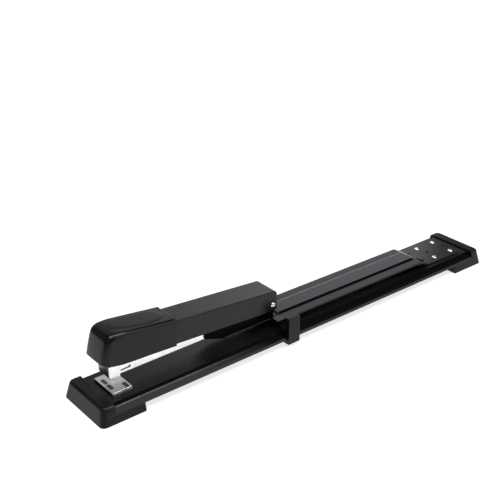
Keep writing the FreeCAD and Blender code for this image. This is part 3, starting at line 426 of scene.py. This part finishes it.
def moved(part, matrix):
    """Return points and faces with the points carried by a matrix."""
    points, faces = part
    return [matrix @ point for point in points], faces


def together(parts):
    """Join several lots of points and faces."""
    points, faces = [], []
    for more_points, more_faces in parts:
        faces += [tuple(index + len(points) for index in face) for face in more_faces]
        points += more_points
    return points, faces


def make_piece(name, part, material, slot, body, *nodes, bevel=None):
    """Make an object from points and faces; it stands for CAD nodes and moves with a body."""
    points, faces = part
    mesh = bpy.data.meshes.new(name)
    mesh.from_pydata(points, [], faces)
    shape = bmesh.new()
    shape.from_mesh(mesh)
    bmesh.ops.remove_doubles(shape, verts=shape.verts, dist=0.000002)
    bmesh.ops.recalc_face_normals(shape, faces=shape.faces)
    if bevel:
        sharp = [edge for edge in shape.edges if edge.calc_face_angle(0) > math.radians(50)]
        bmesh.ops.bevel(shape, geom=sharp, offset=bevel, segments=2, affect="EDGES", profile=0.5)
    shape.to_mesh(mesh)
    shape.free()
    mesh.materials.append(material)
    smooth(mesh)
    piece = bpy.data.objects.new(name, mesh)
    bpy.context.scene.collection.objects.link(piece)
    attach(piece, body)
    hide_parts(*nodes)
    return piece


class Line:
    """A smooth line through points of a plane, read by the distance along it."""

    def __init__(self, corners, steps=16):
        ends = [2 * corners[0] - corners[1], *corners, 2 * corners[-1] - corners[-2]]
        self.points = []
        for before, first, second, after in zip(ends, ends[1:], ends[2:], ends[3:]):
            for step in range(steps):
                self.points.append(self.between(before, first, second, after, step / steps))
        self.points.append(corners[-1])
        self.reach = [0.0]
        for first, second in zip(self.points, self.points[1:]):
            self.reach.append(self.reach[-1] + (second - first).length)
        self.length = self.reach[-1]

    @staticmethod
    def between(before, first, second, after, share):
        """Return the point at a share of the way from first to second on a Catmull-Rom curve."""
        square, cube = share ** 2, share ** 3
        return 0.5 * (2 * first + (second - before) * share
                      + (2 * before - 5 * first + 4 * second - after) * square
                      + (3 * first - before - 3 * second + after) * cube)

    def at(self, reach):
        """Return the point at a distance along the line and the normal on its left."""
        index = sum(1 for mark in self.reach[1:-1] if mark <= reach)
        first, second = self.points[index], self.points[index + 1]
        run = self.reach[index + 1] - self.reach[index]
        share = (reach - self.reach[index]) / run
        before = self.points[max(index - 1, 0)]
        after = self.points[min(index + 2, len(self.points) - 1)]
        ahead = (second - before).normalized().lerp((after - first).normalized(), share).normalized()
        return first.lerp(second, share), Vector((-ahead.y, ahead.x))


def mix(first, second, share):
    """Return the value at a share of the way between two, held at both ends."""
    return first + (second - first) * min(1, max(0, share))


# ---------------------------------------------------------------- palm cap and thumb pad

CAP_HALF = 14.1
CAP_WALL = 1.45
CAP_SKIRT_END = 77.4
CAP_SIDE = ((11.4, 42.1), (13.1, 49.3), (15.2, 56.6), (16.8, 60.8), (19.6, 63.6), (24.0, 64.65),
            (29.5, 64.45), (35.0, 63.85), (45.3, 62.55), (63.3, 60.2), (77.0, 58.4))
CAP_TAIL = ((77.35, 58.34), (77.41, 58.32), (78.0, 58.05), (78.9, 56.9), (79.8, 55.5))
CAP_CHIN = ((11.4, 42.1), (19.7, 39.1), (27.0, 37.7), (35.0, 37.0), (53.0, 36.2), (77.4, 34.8))
COVER_REAR_TOP = 47.15
COVER_END = 180.9
COVER_SLOPE = 0.0809


def cover_top(station):
    """Return the height of the head cover's top."""
    return COVER_REAR_TOP + (COVER_END - station) * COVER_SLOPE


def chin(station):
    """Return the height of the cap's lower edge; behind the skirt that is the top of the cover."""
    if station > CAP_SKIRT_END:
        return cover_top(station) + 0.03
    for (first, high), (second, low) in zip(CAP_CHIN, CAP_CHIN[1:]):
        if station <= second:
            return mix(high, low, (station - first) / (second - first))
    return CAP_CHIN[-1][1]


CAP_PROFILE = Line([Vector(spot) for spot in CAP_SIDE])


def cap_edge(station):
    """Return the radius of the cap's long edges, which are rounder at the front."""
    return mix(4.8, 2.8, (station - 18) / 16)


def cap_spot(reach, across, depth=0.0):
    """Return a point of the cap's skin: a crown across the profile and broad rounded long edges."""
    middle, normal = CAP_PROFILE.at(min(reach, CAP_PROFILE.length))
    radius = cap_edge(middle.x)
    crown = mix(0.8, 0.45, (middle.x - 16) / 10)
    beyond = max(0.0, abs(across) - (CAP_HALF - radius))
    drop = radius - math.sqrt(max(0.0, radius ** 2 - beyond ** 2)) + crown * (across / CAP_HALF) ** 2
    sunk = middle - normal * (drop + depth)
    return sunk.x, across, sunk.y


def cap_row(reach):
    """Return the points across the top of the cap at one distance along its profile."""
    station = CAP_PROFILE.at(reach)[0].x
    radius = cap_edge(station)
    rounding = [CAP_HALF - radius * (1 - math.sin(math.pi / 2 * step / 8)) for step in range(9)]
    level = [(CAP_HALF - radius) * step / 5 for step in range(5)]
    right = level + rounding
    return [cap_spot(reach, across) for across in [-y for y in right[:0:-1]] + right]


def make_palm_cap():
    """A moulding open below and behind; its walls fall from the rounded edges to the chin line."""
    marks = [float(mark) for mark in range(0, 40)]
    marks += [40 + (CAP_PROFILE.length - 40) * step / 12 for step in range(13)]
    rows = [cap_row(mark) for mark in marks]
    rows[0] = [(x, y, chin(x)) for x, y, _ in rows[0]]
    last = rows[-1]
    rows += [[(station, y, min(z, height)) for _, y, z in last] for station, height in CAP_TAIL]
    points = []
    for row in rows:
        edge, _, top = row[0]
        foot = min(chin(edge), top)
        walls = [(edge, CAP_HALF, mix(foot, top, step / 3)) for step in range(3)]
        points += [at(x, -y, z) for x, y, z in walls] + [at(*spot) for spot in row]
        points += [at(*spot) for spot in walls[::-1]]
    cap = make_piece("palm_cap_moulding", (points, quads(len(rows), len(points) // len(rows))),
                     CAP_PLASTIC, "black_plastic", "head", "palm_cap")
    thickness = cap.vertex_groups.new(name="wall")
    thin_from = at(CAP_SKIRT_END - 0.2, 0, 0).x
    for vertex in cap.data.vertices:
        thickness.add([vertex.index], 0.12 if vertex.co.x > thin_from else 1.0, "REPLACE")
    wall = cap.modifiers.new("wall", "SOLIDIFY")
    wall.thickness = CAP_WALL * MM
    wall.offset = -1
    wall.vertex_group = thickness.name
    settle(cap)


def settle(piece):
    """Apply a piece's modifiers to its mesh and shade it again."""
    graph = bpy.context.evaluated_depsgraph_get()
    piece.data = bpy.data.meshes.new_from_object(piece.evaluated_get(graph))
    piece.modifiers.clear()
    smooth(piece.data)


def make_thumb_pad():
    """A long oval pad, slightly domed, that follows the top of the cap."""
    centre, half_length, half_width, rise, sunk = 54.0, 24.5, 10.0, 0.55, 0.3
    rings = (0.02, 0.3, 0.55, 0.75, 0.86, 0.92, 0.96, 0.985, 1.0)
    sides = 72
    points = []
    for ring in rings + rings[::-1]:
        top = len(points) < len(rings) * sides
        height = rise * (1 - ring ** 18) if top else -sunk
        for x, y in disc(1, sides):
            along = math.copysign(abs(x) ** 0.85, x) * half_length * ring
            across = math.copysign(abs(y) ** 0.85, y) * half_width * ring
            points.append(at(*cap_spot(centre + along, across, -height)))
    faces = quads(len(rings) * 2, sides, closed=True)
    faces += [tuple(range(sides)), tuple(range(len(points) - sides, len(points)))]
    return make_piece("thumb_pad_moulding", (points, faces), PAD_PLASTIC, "pad_plastic", "head",
                      "thumb_pad")


# ---------------------------------------------------------------- springs

def coil(length, outer, wire, turns, sides=8, steps=18):
    """Return a compression spring up the Z axis with one closed turn at each end."""
    closed = wire
    free = (length - wire - 2 * closed) / (turns - 2)
    path = []
    for index in range(turns * steps + 1):
        turn = index / steps
        height = closed * min(turn, 1) + free * min(max(turn - 1, 0), turns - 2)
        height += closed * max(turn - turns + 1, 0)
        angle = 2 * math.pi * turn
        reach = outer - wire / 2
        path.append(Vector((reach * math.cos(angle), reach * math.sin(angle), wire / 2 + height)))
    return sweep(path, disc(wire / 2, sides))


def make_pusher_spring():
    """The long spring on the rod, between the pusher and its anchor."""
    middle, size = centre_of("pusher_spring")
    low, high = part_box("pusher_spring")
    along = Matrix.Translation((low.x, middle.y, middle.z)) @ Matrix.Rotation(math.pi / 2, 4, "Y")
    part = moved(coil(size.x, size.y / 2, 0.55 * MM, 34), along)
    spring = make_piece("pusher_coil", part, SPRING_STEEL, "spring_steel", "magazine", "pusher_spring")
    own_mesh(spring)


def make_anvil_spring():
    """The short spring that pulls the anvil down on the rail."""
    middle, size = centre_of("anvil_spring")
    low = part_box("anvil_spring")[0]
    part = moved(coil(size.z, size.x / 2, 0.9 * MM, 5), Matrix.Translation((middle.x, middle.y, low.z)))
    make_piece("anvil_coil", part, SPRING_STEEL, "spring_steel", "anvil", "anvil_spring")


def make_return_spring():
    """The torsion spring round the pin: one leg on the magazine, the other under the head."""
    wire, mean, half = 0.8, 2.3, 4.5
    pin = centre_of("hinge_pin")[0]
    start, end, turns = math.radians(-97), math.radians(54), 11
    sweep_angle = end - start + 2 * math.pi * turns
    steps = turns * 20
    path = [Vector((-11.0, -half, -0.9)) * MM, Vector((-5.5, -half, -1.6)) * MM]
    for index in range(steps + 1):
        share = index / steps
        angle = start + sweep_angle * share
        path.append(Vector((mean * math.cos(angle), mix(-half, half, share),
                            mean * math.sin(angle))) * MM)
    path += [Vector((-5.0, half, 6.3)) * MM, Vector((-11.0, half, 10.5)) * MM]
    part = moved(sweep(path, disc(wire / 2 * MM, 8)), Matrix.Translation((pin.x, 0, pin.z)))
    make_piece("head_return_coil", part, SPRING_STEEL, "spring_steel", "magazine",
               "head_return_spring")


def make_lift_spring():
    """The leaf under the magazine, bent up from the cradle."""
    low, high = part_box("lift_spring")
    thick, half = 0.4, 4.5
    floor, top = low.z / MM + thick / 2, high.z / MM - thick / 2
    side = Line([Vector(spot) for spot in (
        (166.0, floor), (157.0, floor), (150.0, floor + 0.15), (138.0, mix(floor, top, 0.55)),
        (127.5, top - 0.15), (124.5, top), (121.5, top - 0.3), (118.0, top - 1.4))])
    rows = 40
    points = []
    for row in range(rows):
        spot, normal = side.at(side.length * row / (rows - 1))
        end = min(row, rows - 1 - row) / 4
        width = half - 1.2 * (1 - math.sqrt(1 - (1 - min(end, 1)) ** 2))
        for across, lift in ((-width, 1), (width, 1), (width, -1), (-width, -1)):
            level = spot + normal * lift * thick / 2
            points.append(at(level.x, across, level.y))
    faces = quads(rows, 4, closed=True)
    faces += [(0, 1, 2, 3), tuple(range(len(points) - 4, len(points)))]
    leaf = make_piece("lift_leaf", (points, faces), SPRING_STEEL, "spring_steel", "base", "lift_spring",
                      bevel=0.08 * MM)
    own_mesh(leaf)


# ---------------------------------------------------------------- staples and fixings

def make_staples():
    """The strip as single staples: flat wire bent square, glued side by side."""
    low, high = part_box("staple_strip")
    wire, gap = 0.5 * MM, 0.03 * MM
    count = int((high.x - low.x) / wire)
    pitch = (high.x - low.x) / count
    half, bend = high.y - wire / 2, 0.9 * MM
    legs = [(-half, low.z), (-half, high.z - wire / 2 - bend)]
    legs += [(-half + bend * (1 - math.cos(turn)), high.z - wire / 2 - bend * (1 - math.sin(turn)))
             for turn in (math.pi / 8, math.pi / 4, 3 * math.pi / 8, math.pi / 2)]
    legs += [(-y, z) for y, z in legs[::-1]]
    flat, edge = (pitch - gap) / 2, wire / 2
    section = [(-flat, -edge * 0.6), (-flat * 0.6, -edge), (flat * 0.6, -edge), (flat, -edge * 0.6),
               (flat, edge * 0.6), (flat * 0.6, edge), (-flat * 0.6, edge), (-flat, edge * 0.6)]
    staple = sweep([Vector((0, y, z)) for y, z in legs], section, Vector((1, 0, 0)))
    parts = [moved(staple, Matrix.Translation((low.x + pitch * (index + 0.5), 0, 0)))
             for index in range(count)]
    make_piece("staples", together(parts), STAPLE_WIRE, "staple_wire", "magazine", "staple_strip")


def make_arm_rivets():
    """Four rivets with domed heads above and clinched ends below."""
    low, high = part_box("arm_rivets")
    head, neck, lift, foot = 2.4, 1.6, 0.9, 0.45
    dome = [(head * math.cos(turn), lift * math.sin(turn))
            for turn in [math.pi / 2 * step / 9 for step in range(1, 10)]]
    seat = high.z / MM - lift
    outline = [(0.01, low.z / MM), (head * 0.6, low.z / MM + 0.06), (head * 0.78, low.z / MM + foot * 0.6),
               (head * 0.8, low.z / MM + foot), (neck, low.z / MM + foot), (neck, seat), (head, seat)]
    outline += [(max(radius, 0.01), seat + height) for radius, height in dome]
    rivet = lathe([(radius * MM, height * MM) for radius, height in outline])
    inset = head * MM
    parts = [moved(rivet, Matrix.Translation((x, y, 0)))
             for x in (low.x + inset, high.x - inset) for y in (low.y + inset, high.y - inset)]
    make_piece("domed_rivets", together(parts), BRIGHT_NICKEL, "plated_steel", "base", "arm_rivets")


def make_hinge_pin():
    """The pin with a low domed head, dimpled in its middle where it was formed."""
    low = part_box("hinge_pin")[0]
    middle, size = centre_of("hinge_pin")
    length, head, shank, thick = size.y / MM, 2.3, 1.5, 0.9
    outline = [(0.01, 0.28), (0.45, 0.22), (0.8, 0.05), (1.1, 0.0), (1.7, 0.1), (2.1, 0.35), (head, 0.7),
               (head, thick), (shank, thick), (shank, length - 0.3), (shank - 0.3, length),
               (0.01, length)]
    pin = lathe([(radius * MM, height * MM) for radius, height in outline])
    place = Matrix.Translation((middle.x, low.y, middle.z)) @ Matrix.Rotation(-math.pi / 2, 4, "X")
    make_piece("headed_pin", moved(pin, place), BRIGHT_NICKEL, "plated_steel", "base", "hinge_pin")


# ---------------------------------------------------------------- room, light and camera

CAMERA_PLACE = Vector((-0.492, -0.54595, 0.4296))
CAMERA_YAW = 0.677
CAMERA_PITCH = 0.456
CAMERA_ROLL = -0.004
CAMERA_LENS = 69.2

FLOOR_REACH = 14.0
FLOOR_FRONT = 0.47
OVERHEAD_POWER = 2.4
OVERHEAD_SPREAD = 40
OVERHEAD_AIM = Vector((0.12, 0.2, -1))

CARD_LOW, CARD_HIGH = Vector((-0.22, 0.0, 0.005)), Vector((0.42, 0.0, 0.24))
CARD_DISTANCE = 0.12
CARD_RISE = (0.42, 1.2, -0.14, 0.10)  # glow at both ends of a stretch along X, and that stretch
CARD_FADE = (1.0, 0.2, 0.295, 0.335)  # share of the glow that is left, likewise

SKY_BASE = 0.02
SKY_SEEN = 1.1
SKY_GLOWS = (
    # direction, cosine where it starts, cosine where it is full, radiance
    ((0.38, -0.36, 0.85), 0.985, 0.995, 20.0),
    ((0.47, 0.76, 0.45), 0.80, 0.95, 0.25),
    ((0.476, -0.733, 0.485), 0.90, 0.975, 1.6),
    ((0.68, -0.68, 0.26), 0.90, 0.97, 0.5),
    ((-0.64, 0.64, 0.42), 0.90, 0.97, 0.2),
    ((-0.60, -0.66, 0.45), 0.90, 0.97, 0.25),
)


def make_room():
    """A wide pale floor under a broad light from above, with a card and a sky for the gloss."""
    away = Vector((math.sin(CAMERA_YAW), math.cos(CAMERA_YAW), 0))
    bpy.ops.mesh.primitive_circle_add(vertices=256, radius=FLOOR_REACH + FLOOR_FRONT, fill_type="NGON",
                                      location=away * FLOOR_REACH - Vector((0, 0, 0.0001)))
    floor = bpy.context.object
    floor.name = "floor"
    floor.data.materials.append(FLOOR)
    scene = bpy.context.scene
    scene.view_settings.view_transform = "Standard"
    scene.world = make_sky()
    make_card()
    data = bpy.data.lights.new("overhead", "SUN")
    data.energy = OVERHEAD_POWER
    data.angle = math.radians(OVERHEAD_SPREAD)
    light = bpy.data.objects.new("overhead", data)
    scene.collection.objects.link(light)
    light.rotation_euler = OVERHEAD_AIM.to_track_quat("-Z", "Y").to_euler()


def make_card():
    """A glowing card beside the stapler, seen only in its gloss; it is dimmer towards both ends."""
    mesh = bpy.data.meshes.new("card")
    corners = ((CARD_LOW.x, CARD_LOW.z), (CARD_HIGH.x, CARD_LOW.z),
               (CARD_HIGH.x, CARD_HIGH.z), (CARD_LOW.x, CARD_HIGH.z))
    mesh.from_pydata([(x, CARD_DISTANCE, z) for x, z in corners], [], [(0, 1, 2, 3)])
    look = Look("card", Base_Color=(0.0, 0.0, 0.0, 1.0), Emission_Color=(0.95, 0.94, 1.0, 1.0))
    along = look.node("ShaderNodeSeparateXYZ", {"Vector": look.place}).outputs["X"]
    rise = look.spread(along, *CARD_RISE)
    glow = look.math("MULTIPLY", rise, look.spread(along, *CARD_FADE))
    look.tree.links.new(glow, look.surface.inputs["Emission Strength"])
    mesh.materials.append(look.finish())
    card = bpy.data.objects.new("card", mesh)
    bpy.context.scene.collection.objects.link(card)
    for ray in ("camera", "diffuse", "shadow", "transmission"):
        setattr(card, f"visible_{ray}", False)


def make_sky():
    """Dark surroundings with soft glows low down; seen directly they are as pale as the floor."""
    world = bpy.data.worlds.new("studio")
    world.use_nodes = True
    tree = world.node_tree
    ground = tree.nodes["Background"]

    direction = tree.nodes.new("ShaderNodeTexCoord").outputs["Generated"]
    total = SKY_BASE
    for toward, start, full, radiance in SKY_GLOWS:
        dot = tree.nodes.new("ShaderNodeVectorMath")
        dot.operation = "DOT_PRODUCT"
        dot.inputs[1].default_value = Vector(toward).normalized()
        tree.links.new(direction, dot.inputs[0])
        glow = tree.nodes.new("ShaderNodeMapRange")
        glow.interpolation_type = "SMOOTHSTEP"
        for socket, value in (("From Min", start), ("From Max", full), ("To Max", radiance)):
            glow.inputs[socket].default_value = value
        tree.links.new(dot.outputs["Value"], glow.inputs["Value"])
        total = math_node(tree, "ADD", glow.outputs["Result"], total)
    seen = tree.nodes.new("ShaderNodeLightPath").outputs["Is Camera Ray"]
    pale = math_node(tree, "MULTIPLY", seen, SKY_SEEN)
    tree.links.new(math_node(tree, "MAXIMUM", total, pale), ground.inputs["Strength"])
    ground.inputs["Color"].default_value = (0.95, 0.94, 1.0, 1.0)
    return world


def make_camera():
    """Look down along the stapler from in front of its near side."""
    data = bpy.data.cameras.new("camera")
    data.sensor_width = 36.0
    data.lens = CAMERA_LENS
    camera = bpy.data.objects.new("camera", data)
    bpy.context.scene.collection.objects.link(camera)
    camera.location = CAMERA_PLACE
    facing = Vector((math.sin(CAMERA_YAW) * math.cos(CAMERA_PITCH),
                     math.cos(CAMERA_YAW) * math.cos(CAMERA_PITCH), -math.sin(CAMERA_PITCH)))
    turn = facing.to_track_quat("-Z", "Y").to_matrix() @ Matrix.Rotation(CAMERA_ROLL, 3, "Z")
    camera.rotation_euler = turn.to_euler()
    bpy.context.scene.camera = camera


dress_nodes()
make_palm_cap()
make_thumb_pad()
make_pusher_spring()
make_anvil_spring()
make_return_spring()
make_lift_spring()
make_staples()
make_arm_rivets()
make_hinge_pin()
make_room()
make_camera()
